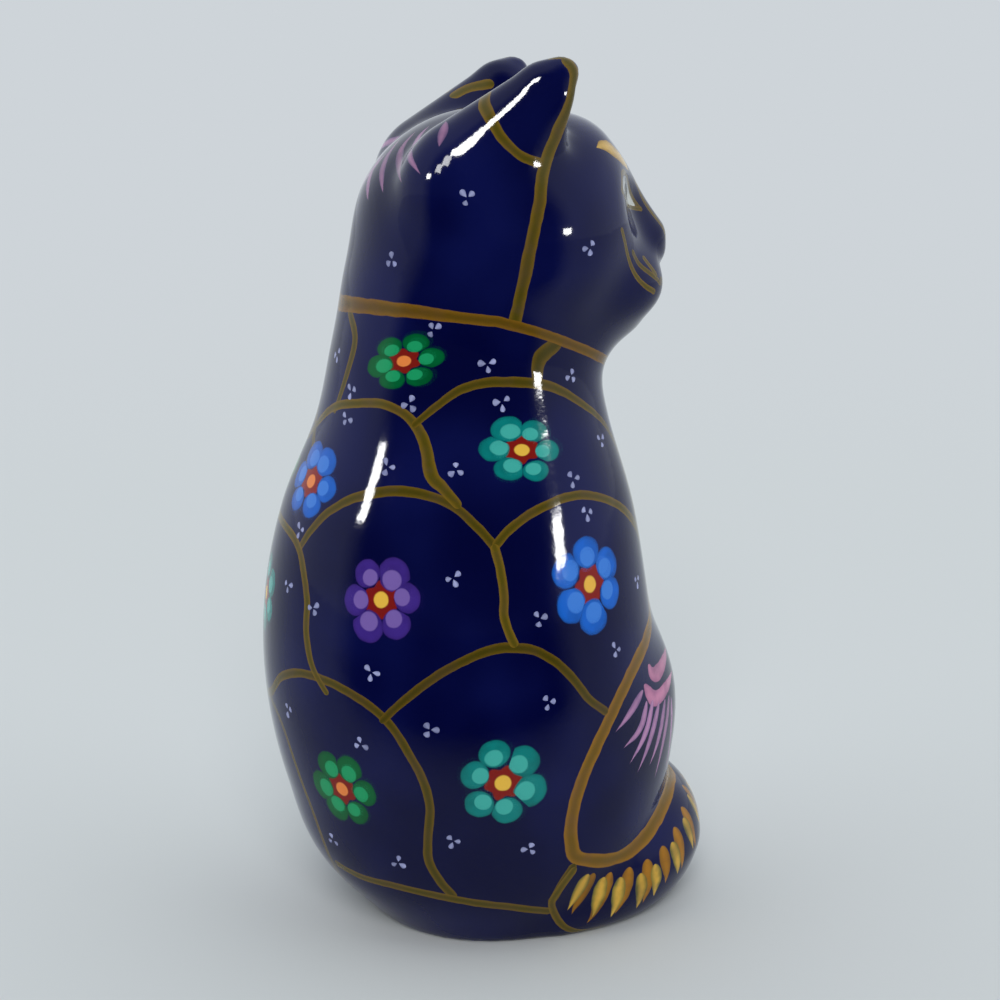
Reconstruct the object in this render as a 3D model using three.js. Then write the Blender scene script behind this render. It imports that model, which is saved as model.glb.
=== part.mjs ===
// A painted pottery cat, sitting upright with its tail curled round the front of its base.
// It is one hollow casting, modelled as one solid of its outer form.
// Millimetres, +Z up. The cat faces -Y and its left side is +X.
// The origin is on the flat underside, at the middle of the whole figure's box.

import * as THREE from "three";

// Driving sizes

const HEIGHT = 150; // underside to ear tips
const WIDTH = 68.2; // across the flanks and the tail
const DEPTH = 80.2; // tail in front to the back
const MESH_ROWS = 47; // rows of the mesh in the height, at the body's fineness
const HEAD_ROW_SHARE = 0.72; // height of a head row, as a share of a body row

// The figure is a free form, so its proportions are counts of small shares of its three sizes.
// A share is a millimetre at the sizes above.

const SHARE = new THREE.Vector3(WIDTH / 68.2, DEPTH / 80.2, HEIGHT / 150);
const THICKNESS_SHARE = (SHARE.x + SHARE.y + SHARE.z) / 3;
const place = (x, y, z) => new THREE.Vector3(x, y, z).multiply(SHARE);
const thickness = (count) => count * THICKNESS_SHARE;

// Body, as cross sections: height, front, back, half width

const BODY_SECTIONS = [
  [0, -25.0, 22.4, 24.6],
  [10, -30.0, 31.3, 29.4],
  [25, -32.6, 36.9, 32.6],
  [42, -30.6, 39.9, 33.6],
  [58, -28.4, 39.5, 32.2],
  [74, -25.6, 36.0, 28.8],
  [90, -20.9, 29.5, 24.8],
  [102, -18.5, 26.8, 22.4],
  [114, -19.2, 24.1, 21.0],
  [126, -17.0, 20.5, 19.0],
].map(([up, front, back, halfWidth]) => [up * SHARE.z, front * SHARE.y, back * SHARE.y, halfWidth * SHARE.x]);
const SECTION_POWER = 2.15; // 2 is an ellipse, more is squarer
const SHOULDER_TOP = 118 * SHARE.z; // the body ends here, inside the head
const SHOULDER_BLEND = thickness(10);

const BELLY = { centre: place(0, -14, 36), radii: place(22, 20.6, 21.5), blend: thickness(7) };

// Head

const SKULL = { centre: place(0, -1.4, 120.8), radii: place(25, 24.1, 21.3), blend: thickness(9) };
const THROAT = { centre: place(0, -11.6, 104.5), radii: place(13, 10.4, 8.5), blend: thickness(9) };
const MUZZLE_PAD = { centre: place(3.8, -18.8, 111.8), radii: place(9.8, 11.4, 7.6), blend: thickness(8) };
const CHIN = { centre: place(0, -18.3, 106.3), radii: place(7.5, 9, 4.8), blend: thickness(5) };
const NOSE_TIP = { centre: place(0, -29.1, 117.3), radii: place(3.6, 2.6, 2.6), blend: thickness(3) };
const EYE_HOLLOW = { centre: place(11, -28.4, 127), radii: place(7, 5.5, 5.5), blend: thickness(7) };
const BRIDGE = {
  from: place(0, -14.1, 132.3),
  to: place(0, -28.6, 120.4),
  fromRadius: thickness(7.2),
  toRadius: thickness(2.9),
  blend: thickness(9),
};
const BRIDGE_NARROWING = 0.62; // the bridge is wider across than its own thickness

// The left ear: two tapering lengths, hollowed in front

const EAR = {
  root: place(13.4, 4.9, 128.9),
  bend: place(16.6, -6.4, 143.7),
  tip: place(17.6, -8.5, 150),
  rootRadius: thickness(12),
  bendRadius: thickness(5.5),
  tipRadius: thickness(3.4),
  narrowing: 1.3, // the ear is narrower across than its own thickness
  bendBlend: thickness(1.5),
  blend: thickness(5),
};
const EAR_HOLLOW = { centre: place(16.8, -15.8, 139), radii: place(6.6, 6.4, 11), blend: thickness(2.5) };
const EAR_TIP_CENTRE = EAR.tip.clone().setZ(EAR.tip.z - EAR.tipRadius);

// Tail, a roll round the front of the base. Turns are degrees from the front, towards the cat's left.

const TAIL = {
  tipTurn: -63,
  rootTurn: 140,
  middleY: 4.6 * SHARE.y,
  pathHalfWidth: 27.6 * SHARE.x,
  pathHalfDepth: 36.1 * SHARE.y,
  tipThickness: [thickness(3.4), thickness(5.4)], // outwards and upwards
  fullThickness: [thickness(8.6), thickness(11.6)],
  tipInset: thickness(2.6),
  rootInset: thickness(15), // the root sinks into the hip by this much
  growLength: 0.25, // of the whole turn
  sinkLength: 0.36,
  lift: 0.86, // height of the roll's middle, as a share of its upward thickness
  undercut: 0.16, // how fast its outer side draws in below the middle
  tipSlope: thickness(0.25), // how fast the tip ends, per degree
  blend: thickness(3.6),
};

// Lower edge: rounded, then cut flat at the underside

const EDGE_INSET = thickness(0.9);
const EDGE_BLEND = thickness(3.6);

// Distance helpers. Each distance is below zero inside the form.

function smoothJoin(a, b, blend) {
  const nearness = Math.max(blend - Math.abs(a - b), 0) / blend;
  return Math.min(a, b) - (nearness ** 3 * blend) / 6;
}

function smoothCut(a, b, blend) {
  return -smoothJoin(-a, -b, blend);
}

function ellipsoid(point, { centre, radii }) {
  const fromCentre = point.clone().sub(centre);
  const scaled = fromCentre.clone().divide(radii).length();
  const slope = fromCentre.divide(radii).divide(radii).length();
  return (scaled * (scaled - 1)) / Math.max(slope, 1e-9);
}

// Two balls of different sizes with the skin stretched over both
function taperedRod(point, from, to, fromRadius, toRadius) {
  const axis = to.clone().sub(from);
  const length = axis.length();
  const taper = (fromRadius - toRadius) / length;
  const rise = Math.sqrt(1 - taper * taper);
  const fromStart = point.clone().sub(from);
  const along = fromStart.dot(axis) / length;
  const across = Math.sqrt(Math.max(fromStart.lengthSq() - along * along, 0));
  const touch = along * rise - across * taper;
  if (touch < 0) return Math.hypot(across, along) - fromRadius;
  if (touch > length * rise) return Math.hypot(across, along - length) - toRadius;
  return across * rise + along * taper - fromRadius;
}

// A smooth curve through the body's sections
function sectionAt(height) {
  const last = BODY_SECTIONS.length - 1;
  const z = THREE.MathUtils.clamp(height, BODY_SECTIONS[0][0], BODY_SECTIONS[last][0]);
  let lower = 0;
  while (lower < last - 1 && z > BODY_SECTIONS[lower + 1][0]) lower += 1;
  const [start, end] = [BODY_SECTIONS[lower], BODY_SECTIONS[lower + 1]];
  const gap = end[0] - start[0];
  const t = (z - start[0]) / gap;
  return [1, 2, 3].map((column) => {
    const startSlope = slopeAt(lower, column) * gap;
    const endSlope = slopeAt(lower + 1, column) * gap;
    const rise = end[column] - start[column];
    return (
      start[column] +
      startSlope * t +
      (3 * rise - 2 * startSlope - endSlope) * t ** 2 +
      (startSlope + endSlope - 2 * rise) * t ** 3
    );
  });
}

function slopeAt(index, column) {
  const secant = (i) =>
    (BODY_SECTIONS[i + 1][column] - BODY_SECTIONS[i][column]) / (BODY_SECTIONS[i + 1][0] - BODY_SECTIONS[i][0]);
  if (index === 0) return secant(0);
  if (index === BODY_SECTIONS.length - 1) return secant(index - 1);
  const before = BODY_SECTIONS[index][0] - BODY_SECTIONS[index - 1][0];
  const after = BODY_SECTIONS[index + 1][0] - BODY_SECTIONS[index][0];
  return (secant(index - 1) * after + secant(index) * before) / (before + after);
}

// The cat's parts, as distances

function bodyDistance(point) {
  const [front, back, halfWidth] = sectionAt(point.z);
  const halfDepth = (back - front) / 2;
  const y = point.y - (front + back) / 2;
  const ratio =
    (Math.abs(point.x / halfWidth) ** SECTION_POWER + Math.abs(y / halfDepth) ** SECTION_POWER) ** (1 / SECTION_POWER);
  const wall = ratio > 1e-6 ? (1 - 1 / ratio) * Math.hypot(point.x, y) : -halfWidth;
  return smoothCut(Math.max(wall, -halfWidth), point.z - SHOULDER_TOP, SHOULDER_BLEND);
}

function headJoined(body, point) {
  const mirrored = new THREE.Vector3(Math.abs(point.x), point.y, point.z);
  const acrossBridge = new THREE.Vector3(point.x * BRIDGE_NARROWING, point.y, point.z);
  let form = smoothJoin(body, ellipsoid(point, SKULL), SKULL.blend);
  form = smoothJoin(form, ellipsoid(point, BELLY), BELLY.blend);
  form = smoothJoin(form, ellipsoid(point, THROAT), THROAT.blend);
  form = smoothJoin(form, ellipsoid(mirrored, MUZZLE_PAD), MUZZLE_PAD.blend);
  form = smoothJoin(form, ellipsoid(point, CHIN), CHIN.blend);
  const bridge = taperedRod(acrossBridge, BRIDGE.from, BRIDGE.to, BRIDGE.fromRadius, BRIDGE.toRadius);
  form = smoothJoin(form, bridge, BRIDGE.blend);
  form = smoothJoin(form, ellipsoid(point, NOSE_TIP), NOSE_TIP.blend);
  form = smoothCut(form, -ellipsoid(mirrored, EYE_HOLLOW), EYE_HOLLOW.blend);
  return smoothJoin(form, earDistance(mirrored), EAR.blend);
}

function earDistance(mirrored) {
  const acrossEar = mirrored.clone().setX(EAR.tip.x + (mirrored.x - EAR.tip.x) * EAR.narrowing);
  const root = taperedRod(acrossEar, EAR.root, EAR.bend, EAR.rootRadius, EAR.bendRadius);
  const tip = taperedRod(acrossEar, EAR.bend, EAR_TIP_CENTRE, EAR.bendRadius, EAR.tipRadius);
  const ear = smoothJoin(root, tip, EAR.bendBlend);
  return smoothCut(ear, -ellipsoid(mirrored, EAR_HOLLOW), EAR_HOLLOW.blend);
}

function tailDistance(point) {
  const y = point.y - TAIL.middleY;
  const turn = THREE.MathUtils.radToDeg(Math.atan2(point.x, -y));
  const share = THREE.MathUtils.clamp((turn - TAIL.tipTurn) / (TAIL.rootTurn - TAIL.tipTurn), 0, 1);
  const grown = Math.sin((Math.min(share / TAIL.growLength, 1) * Math.PI) / 2);
  const sunk = 1 - THREE.MathUtils.smoothstep(1 - share, 0, TAIL.sinkLength);
  const [outwards, upwards] = [0, 1].map((way) =>
    THREE.MathUtils.lerp(TAIL.tipThickness[way], TAIL.fullThickness[way], grown * (1 - sunk)),
  );
  const around = THREE.MathUtils.degToRad(turn);
  const path =
    1 / Math.hypot(Math.sin(around) / TAIL.pathHalfWidth, Math.cos(around) / TAIL.pathHalfDepth) -
    TAIL.tipInset * (1 - grown) -
    TAIL.rootInset * sunk;
  const above = point.z - upwards * TAIL.lift;
  const beyond = Math.hypot(point.x, y) - path - TAIL.undercut * Math.min(above, 0);
  const scaled = Math.hypot(beyond / outwards, above / upwards);
  const slope = Math.hypot(beyond / outwards ** 2, above / upwards ** 2);
  const roll = (scaled * (scaled - 1)) / Math.max(slope, 1e-9);
  const pastEnd = Math.max(TAIL.tipTurn - turn, turn - TAIL.rootTurn, 0);
  return roll + pastEnd * TAIL.tipSlope;
}

function catDistance(point) {
  const figure = headJoined(bodyDistance(point), point);
  const withTail = smoothJoin(figure, tailDistance(point), TAIL.blend);
  const rounded = smoothCut(withTail, -point.z - EDGE_INSET, EDGE_BLEND);
  return Math.max(rounded, -point.z);
}

// Meshing: one vertex in each grid cell that the surface crosses, then moved onto the surface

function evenly(from, to, step) {
  const count = Math.ceil((to - from) / step);
  return Array.from({ length: count + 1 }, (_, i) => from + i * step);
}

function gridLines() {
  const bodyRow = HEIGHT / MESH_ROWS;
  const headRow = bodyRow * HEAD_ROW_SHARE;
  const across = bodyRow * 0.95;
  const margin = 2 * bodyRow;
  const sections = BODY_SECTIONS.flatMap(([, front, back, halfWidth]) => [-front, back, halfWidth]);
  const tailReach = Math.max(TAIL.pathHalfWidth, TAIL.pathHalfDepth) + TAIL.fullThickness[0];
  const reach = Math.max(...sections, tailReach, HEIGHT / 4) + margin;
  const body = evenly(-margin, SHOULDER_TOP * 0.86, bodyRow);
  const head = evenly(body.at(-1) + headRow, EAR.tip.z + margin, headRow);
  return { xs: evenly(-reach, reach, across), ys: evenly(-reach, reach, across), zs: [...body, ...head] };
}

function gridDistances({ xs, ys, zs }) {
  const values = new Float64Array(xs.length * ys.length * zs.length);
  let next = 0;
  for (const z of zs) {
    for (const y of ys) {
      for (const x of xs) {
        values[next] = catDistance(new THREE.Vector3(x, y, z));
        next += 1;
      }
    }
  }
  return values;
}

const CORNERS = [0, 1, 2, 3, 4, 5, 6, 7].map((bits) => [bits & 1, (bits >> 1) & 1, (bits >> 2) & 1]);
const EDGES = CORNERS.flatMap((corner, from) =>
  [0, 1, 2].filter((axis) => corner[axis] === 0).map((axis) => [from, from | (1 << axis)]),
);

function cellVertex(lines, valueAt, cell) {
  const sum = new THREE.Vector3();
  let crossings = 0;
  const cornerPoint = (corner) =>
    new THREE.Vector3(
      lines.xs[cell[0] + corner[0]],
      lines.ys[cell[1] + corner[1]],
      lines.zs[cell[2] + corner[2]],
    );
  const values = CORNERS.map((corner) => valueAt(cell[0] + corner[0], cell[1] + corner[1], cell[2] + corner[2]));
  for (const [from, to] of EDGES) {
    if (values[from] < 0 === values[to] < 0) continue;
    const share = values[from] / (values[from] - values[to]);
    sum.add(cornerPoint(CORNERS[from]).lerp(cornerPoint(CORNERS[to]), share));
    crossings += 1;
  }
  return crossings > 0 ? sum.divideScalar(crossings) : null;
}

function settle(vertex, largestMove) {
  const probe = thickness(0.05);
  const rounds = 4;
  const offsets = [new THREE.Vector3(probe, 0, 0), new THREE.Vector3(0, probe, 0), new THREE.Vector3(0, 0, probe)];
  for (let round = 0; round < rounds; round += 1) {
    const slopes = offsets.map(
      (offset) => (catDistance(vertex.clone().add(offset)) - catDistance(vertex.clone().sub(offset))) / (2 * probe),
    );
    const gradient = new THREE.Vector3(...slopes);
    const move = catDistance(vertex) / Math.max(gradient.lengthSq(), 1e-6);
    vertex.addScaledVector(gradient, -THREE.MathUtils.clamp(move, -largestMove, largestMove));
  }
  const onFloor = 1e-6;
  if (Math.abs(vertex.z) < onFloor) vertex.z = 0;
}

function meshCat() {
  const lines = gridLines();
  const size = [lines.xs.length, lines.ys.length, lines.zs.length];
  const distances = gridDistances(lines);
  const valueAt = (i, j, k) => distances[i + size[0] * (j + size[1] * k)];
  const vertices = [];
  const vertexOfCell = new Map();
  const cellKey = (i, j, k) => i + size[0] * (j + size[1] * k);
  for (let k = 0; k < size[2] - 1; k += 1) {
    for (let j = 0; j < size[1] - 1; j += 1) {
      for (let i = 0; i < size[0] - 1; i += 1) {
        const vertex = cellVertex(lines, valueAt, [i, j, k]);
        if (vertex === null) continue;
        vertexOfCell.set(cellKey(i, j, k), vertices.length);
        vertices.push(vertex);
      }
    }
  }
  const largestMove = HEIGHT / MESH_ROWS / 3;
  vertices.forEach((vertex) => settle(vertex, largestMove));
  sharpenEarTips(vertices);
  return { vertices, triangles: surfaceTriangles(size, valueAt, cellKey, vertexOfCell, vertices) };
}

// The mesh's rows miss the very tops of the ears, so the nearest vertex is set on each
function sharpenEarTips(vertices) {
  for (const side of [-1, 1]) {
    const top = new THREE.Vector3(side * EAR.tip.x, EAR.tip.y, EAR.tip.z);
    const nearer = (nearest, vertex) => (vertex.distanceTo(top) < nearest.distanceTo(top) ? vertex : nearest);
    vertices.reduce(nearer).copy(top);
  }
}

// Each grid edge that crosses the surface joins the vertices of the four cells around it
function surfaceTriangles(size, valueAt, cellKey, vertexOfCell, vertices) {
  const triangles = [];
  const steps = [
    [1, 0, 0],
    [0, 1, 0],
    [0, 0, 1],
  ];
  for (let k = 1; k < size[2] - 1; k += 1) {
    for (let j = 1; j < size[1] - 1; j += 1) {
      for (let i = 1; i < size[0] - 1; i += 1) {
        const inside = valueAt(i, j, k) < 0;
        steps.forEach((step, axis) => {
          if (inside === valueAt(i + step[0], j + step[1], k + step[2]) < 0) return;
          const [u, v] = [steps[(axis + 1) % 3], steps[(axis + 2) % 3]];
          const around = [[1, 1], [0, 1], [0, 0], [1, 0]].map(([backU, backV]) =>
            vertexOfCell.get(
              cellKey(
                i - backU * u[0] - backV * v[0],
                j - backU * u[1] - backV * v[1],
                k - backU * u[2] - backV * v[2],
              ),
            ),
          );
          triangles.push(...splitQuad(inside ? around : around.reverse(), vertices));
        });
      }
    }
  }
  return triangles;
}

function splitQuad([a, b, c, d], vertices) {
  const alongAC = vertices[a].distanceTo(vertices[c]) <= vertices[b].distanceTo(vertices[d]);
  return alongAC ? [a, b, c, a, c, d] : [a, b, d, b, c, d];
}

function catGeometry() {
  const { vertices, triangles } = meshCat();
  const geometry = new THREE.BufferGeometry();
  geometry.setAttribute("position", new THREE.Float32BufferAttribute(vertices.flatMap((v) => v.toArray()), 3));
  geometry.setIndex(triangles);
  geometry.computeBoundingBox();
  const middle = geometry.boundingBox.getCenter(new THREE.Vector3());
  geometry.translate(-middle.x, -middle.y, 0);
  geometry.computeVertexNormals();
  return geometry;
}

const blueLacquer = new THREE.MeshStandardMaterial({ color: 0x0d1240, roughness: 0.12, metalness: 0 });
const cat = new THREE.Mesh(catGeometry(), blueLacquer);
cat.name = "cat";

const figurine = new THREE.Group();
figurine.add(cat);

export default figurine;
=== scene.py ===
# A painted pottery cat in dark blue gloss lacquer, with gold scale lines, flowers and small pale drops.
# Blender works in metres, +Z up. The cat faces -Y and its left side is +X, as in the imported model.
# The form and the paint are worked out in millimetres, as in the part's source.

import math
from collections import namedtuple

import bpy
import numpy as np
from mathutils import Euler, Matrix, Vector
from mathutils.bvhtree import BVHTree
from mathutils.kdtree import KDTree

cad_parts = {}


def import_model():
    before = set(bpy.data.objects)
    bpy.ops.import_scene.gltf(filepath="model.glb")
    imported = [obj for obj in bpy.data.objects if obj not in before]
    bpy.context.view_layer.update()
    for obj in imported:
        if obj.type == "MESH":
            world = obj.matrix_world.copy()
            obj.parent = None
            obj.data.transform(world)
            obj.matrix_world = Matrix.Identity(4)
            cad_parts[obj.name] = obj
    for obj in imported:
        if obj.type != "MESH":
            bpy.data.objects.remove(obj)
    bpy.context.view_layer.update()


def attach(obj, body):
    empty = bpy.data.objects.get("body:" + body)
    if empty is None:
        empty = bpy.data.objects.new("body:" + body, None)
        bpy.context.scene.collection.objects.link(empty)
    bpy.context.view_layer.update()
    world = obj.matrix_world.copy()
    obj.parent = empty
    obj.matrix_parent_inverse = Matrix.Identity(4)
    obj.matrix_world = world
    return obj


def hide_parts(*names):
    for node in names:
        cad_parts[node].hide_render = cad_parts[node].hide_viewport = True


MM = 0.001

# Least values, which keep a division by nearly nothing in bounds
SMALL = 1e-6
TINY = 1e-9

# Camera: its place round the cat in millimetres and degrees, and the focal length in pixels

PICTURE = 1000
FOCAL_LENGTH = 1780
SENSOR_WIDTH = 36
CAMERA_AT = (-300.3, 63.8, 150.0)
CAMERA_TURN = 257.55
CAMERA_PITCH = -14.0

# Form of the cat, as in the part's source

BODY_SECTIONS = np.array([
    # height, front, back, half width
    [0, -25.0, 22.4, 24.6],
    [10, -30.0, 31.3, 29.4],
    [25, -32.6, 36.9, 32.6],
    [42, -30.6, 39.9, 33.6],
    [58, -28.4, 39.5, 32.2],
    [74, -25.6, 36.0, 28.8],
    [90, -20.9, 29.5, 24.8],
    [102, -18.5, 26.8, 22.4],
    [114, -19.2, 24.1, 21.0],
    [126, -17.0, 20.5, 19.0],
])
SECTION_POWER = 2.15
SHOULDER_TOP = 118
SHOULDER_BLEND = 10

# Balls: centre, radii, blend
BELLY = ((0, -14, 36), (22, 20.6, 21.5), 7)
SKULL = ((0, -1.4, 120.8), (25, 24.1, 21.3), 9)
THROAT = ((0, -11.6, 104.5), (13, 10.4, 8.5), 9)
MUZZLE_PAD = ((3.8, -18.8, 111.8), (9.8, 11.4, 7.6), 8)
CHIN = ((0, -18.3, 106.3), (7.5, 9, 4.8), 5)
NOSE_TIP = ((0, -29.1, 117.3), (3.6, 2.6, 2.6), 3)
EYE_HOLLOW = ((11, -28.4, 127), (7, 5.5, 5.5), 7)
EAR_HOLLOW = ((16.8, -15.8, 139), (6.6, 6.4, 11), 2.5)

# Tapered rods: two ends, two radii, blend
BRIDGE = ((0, -14.1, 132.3), (0, -28.6, 120.4), 7.2, 2.9, 9)
BRIDGE_NARROWING = 0.62
EAR_ROOT = (13.4, 4.9, 128.9)
EAR_BEND = (16.6, -6.4, 143.7)
EAR_TOP = (17.6, -8.5, 146.6)
EAR_RADII = (12, 5.5, 3.4)
EAR_NARROWING = 1.3
EAR_BEND_BLEND = 1.5
EAR_BLEND = 5

TAIL_TURNS = (-63, 140)
TAIL_MIDDLE_Y = 4.6
TAIL_PATH = (27.6, 36.1)
TAIL_TIP_THICKNESS = (3.4, 5.4)
TAIL_THICKNESS = (8.6, 11.6)
TAIL_INSETS = (2.6, 15)
TAIL_GROW_LENGTH = 0.25
TAIL_SINK_LENGTH = 0.36
TAIL_LIFT = 0.86
TAIL_UNDERCUT = 0.16
TAIL_TIP_SLOPE = 0.25
TAIL_BLEND = 3.6
EDGE_INSET = 0.9
EDGE_BLEND = 3.6

CELL = 0.8
GRID_LOW = (-37, -43, -2)
GRID_HIGH = (37, 43, 152)
PROBE = 0.05
SETTLE_ROUNDS = 4


# Distance helpers. Each distance is below zero inside the form.

def smooth_join(a, b, blend):
    nearness = np.maximum(blend - np.abs(a - b), 0) / blend
    return np.minimum(a, b) - nearness**3 * blend / 6


def smooth_cut(a, b, blend):
    return -smooth_join(-a, -b, blend)


def ball(points, centre, radii):
    scaled = (points - centre) / np.array(radii)
    reach = np.sqrt((scaled**2).sum(-1))
    slope = np.sqrt(((scaled / np.array(radii)) ** 2).sum(-1))
    return reach * (reach - 1) / np.maximum(slope, TINY)


def rod(points, start, end, start_radius, end_radius):
    axis = np.subtract(end, start).astype(float)
    length = np.linalg.norm(axis)
    taper = (start_radius - end_radius) / length
    rise = math.sqrt(1 - taper**2)
    from_start = points - start
    along = from_start @ axis / length
    across = np.sqrt(np.maximum((from_start**2).sum(-1) - along**2, 0))
    touch = along * rise - across * taper
    beyond = np.where(
        touch > length * rise,
        np.hypot(across, along - length) - end_radius,
        across * rise + along * taper - start_radius,
    )
    return np.where(touch < 0, np.hypot(across, along) - start_radius, beyond)


def smooth_step(share):
    share = np.clip(share, 0, 1)
    return share * share * (3 - 2 * share)


# The body's front, back and half width at a height, on a smooth curve through its sections
def section_at(height):
    heights = BODY_SECTIONS[:, 0]
    gaps = np.diff(heights)
    secants = np.diff(BODY_SECTIONS[:, 1:], axis=0) / gaps[:, None]
    weighed = secants[:-1] * gaps[1:, None] + secants[1:] * gaps[:-1, None]
    slopes = np.vstack([secants[:1], weighed / (gaps[1:] + gaps[:-1])[:, None], secants[-1:]])
    height = np.clip(height, heights[0], heights[-1])
    lower = np.clip(np.searchsorted(heights, height, side="right") - 1, 0, len(gaps) - 1)
    gap = gaps[lower][..., None]
    share = (height[..., None] - heights[lower][..., None]) / gap
    start = BODY_SECTIONS[lower, 1:]
    rise = BODY_SECTIONS[lower + 1, 1:] - start
    start_slope = slopes[lower] * gap
    end_slope = slopes[lower + 1] * gap
    curve = start + start_slope * share
    curve += (3 * rise - 2 * start_slope - end_slope) * share**2
    curve += (start_slope + end_slope - 2 * rise) * share**3
    return np.moveaxis(curve, -1, 0)


def body_distance(points):
    front, back, half_width = section_at(points[..., 2])
    x = points[..., 0]
    y = points[..., 1] - (front + back) / 2
    powers = np.abs(x / half_width) ** SECTION_POWER + np.abs(y / ((back - front) / 2)) ** SECTION_POWER
    ratio = np.maximum(powers ** (1 / SECTION_POWER), SMALL)
    wall = np.maximum((1 - 1 / ratio) * np.hypot(x, y), -half_width)
    return smooth_cut(wall, points[..., 2] - SHOULDER_TOP, SHOULDER_BLEND)


def ear_distance(mirrored):
    across = mirrored.copy()
    across[..., 0] = EAR_TOP[0] + (mirrored[..., 0] - EAR_TOP[0]) * EAR_NARROWING
    root = rod(across, EAR_ROOT, EAR_BEND, EAR_RADII[0], EAR_RADII[1])
    top = rod(across, EAR_BEND, EAR_TOP, EAR_RADII[1], EAR_RADII[2])
    ear = smooth_join(root, top, EAR_BEND_BLEND)
    return smooth_cut(ear, -ball(mirrored, *EAR_HOLLOW[:2]), EAR_HOLLOW[2])


def tail_distance(points):
    x, y, z = points[..., 0], points[..., 1] - TAIL_MIDDLE_Y, points[..., 2]
    turn = np.degrees(np.arctan2(x, -y))
    tip_turn, root_turn = TAIL_TURNS
    share = np.clip((turn - tip_turn) / (root_turn - tip_turn), 0, 1)
    grown = np.sin(np.minimum(share / TAIL_GROW_LENGTH, 1) * math.pi / 2)
    sunk = 1 - smooth_step((1 - share) / TAIL_SINK_LENGTH)
    outwards, upwards = [
        tip + (full - tip) * grown * (1 - sunk) for tip, full in zip(TAIL_TIP_THICKNESS, TAIL_THICKNESS)
    ]
    around = np.radians(turn)
    path = 1 / np.hypot(np.sin(around) / TAIL_PATH[0], np.cos(around) / TAIL_PATH[1])
    path = path - TAIL_INSETS[0] * (1 - grown) - TAIL_INSETS[1] * sunk
    above = z - upwards * TAIL_LIFT
    beyond = np.hypot(x, y) - path - TAIL_UNDERCUT * np.minimum(above, 0)
    scaled = np.hypot(beyond / outwards, above / upwards)
    slope = np.hypot(beyond / outwards**2, above / upwards**2)
    roll = scaled * (scaled - 1) / np.maximum(slope, TINY)
    return roll + np.maximum(np.maximum(tip_turn - turn, turn - root_turn), 0) * TAIL_TIP_SLOPE


# Only the tail differs from side to side
def cat_distance(points):
    mirrored = points.copy()
    mirrored[..., 0] = np.abs(mirrored[..., 0])
    form = body_distance(points)
    for centre, radii, blend in (SKULL, BELLY, THROAT, MUZZLE_PAD, CHIN):
        form = smooth_join(form, ball(mirrored, centre, radii), blend)
    form = smooth_join(form, rod(mirrored * (BRIDGE_NARROWING, 1, 1), *BRIDGE[:4]), BRIDGE[4])
    form = smooth_join(form, ball(mirrored, *NOSE_TIP[:2]), NOSE_TIP[2])
    form = smooth_cut(form, -ball(mirrored, *EYE_HOLLOW[:2]), EYE_HOLLOW[2])
    form = smooth_join(form, ear_distance(mirrored), EAR_BLEND)
    form = smooth_join(form, tail_distance(points), TAIL_BLEND)
    form = smooth_cut(form, -points[..., 2] - EDGE_INSET, EDGE_BLEND)
    return np.maximum(form, -points[..., 2])


# Meshing: one vertex in each grid cell that the surface crosses, then moved onto the surface

CELL_CORNERS = [(i, j, k) for i in (0, 1) for j in (0, 1) for k in (0, 1)]


def grid_values(axes):
    xs, ys, zs = axes
    values = np.empty((len(xs), len(ys), len(zs)))
    across = np.stack(np.meshgrid(xs, ys, indexing="ij"), -1)
    for k, z in enumerate(zs):
        level = np.full(across.shape[:2] + (1,), z)
        values[:, :, k] = cat_distance(np.concatenate([across, level], -1))
    return values


def crossing_cells(values):
    shape = np.array(values.shape) - 1
    total = np.zeros((*shape, 3))
    count = np.zeros(shape)

    def corner_values(corner):
        return values[tuple(slice(c, c + n) for c, n in zip(corner, shape))]

    for corner in CELL_CORNERS:
        for axis in range(3):
            if corner[axis]:
                continue
            other = tuple(1 if i == axis else c for i, c in enumerate(corner))
            here, there = corner_values(corner), corner_values(other)
            crosses = (here < 0) != (there < 0)
            share = np.where(crosses, here / np.where(crosses, here - there, 1), 0)
            for i in range(3):
                total[..., i] += np.where(crosses, corner[i] + (share if i == axis else 0), 0)
            count += crosses
    active = count > 0
    return active, np.argwhere(active) + total[active] / count[active][:, None]


def surface_quads(inside, active):
    number = np.full(active.shape, -1)
    number[active] = np.arange(active.sum())
    quads = []
    for axis in range(3):
        u, v = (axis + 1) % 3, (axis + 2) % 3
        change = np.argwhere(np.diff(inside.astype(np.int8), axis=axis) != 0)
        around = []
        for back_u, back_v in ((1, 1), (0, 1), (0, 0), (1, 0)):
            cell = change.copy()
            cell[:, u] -= back_u
            cell[:, v] -= back_v
            around.append(number[tuple(cell.T)])
        quad = np.stack(around, 1)
        outwards = inside[tuple(change.T)]
        quad[~outwards] = quad[~outwards][:, ::-1]
        quads.append(quad)
    return np.concatenate(quads)


def slopes_at(points):
    sides = []
    for axis in range(3):
        offset = np.zeros(3)
        offset[axis] = PROBE
        sides.append((cat_distance(points + offset) - cat_distance(points - offset)) / (2 * PROBE))
    return np.stack(sides, -1)


def settle(points):
    for _ in range(SETTLE_ROUNDS):
        slopes = slopes_at(points)
        move = cat_distance(points) / np.maximum((slopes**2).sum(-1), SMALL)
        points = points - np.clip(move, -CELL / 2, CELL / 2)[:, None] * slopes
    points[np.abs(points[:, 2]) < SMALL, 2] = 0
    return points


def cat_surface():
    axes = [np.arange(low, high + CELL, CELL) for low, high in zip(GRID_LOW, GRID_HIGH)]
    values = grid_values(axes)
    active, cells = crossing_cells(values)
    quads = surface_quads(values < 0, active)
    return settle(np.array(GRID_LOW) + cells * CELL), quads


# Looking things up on the cat

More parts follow.
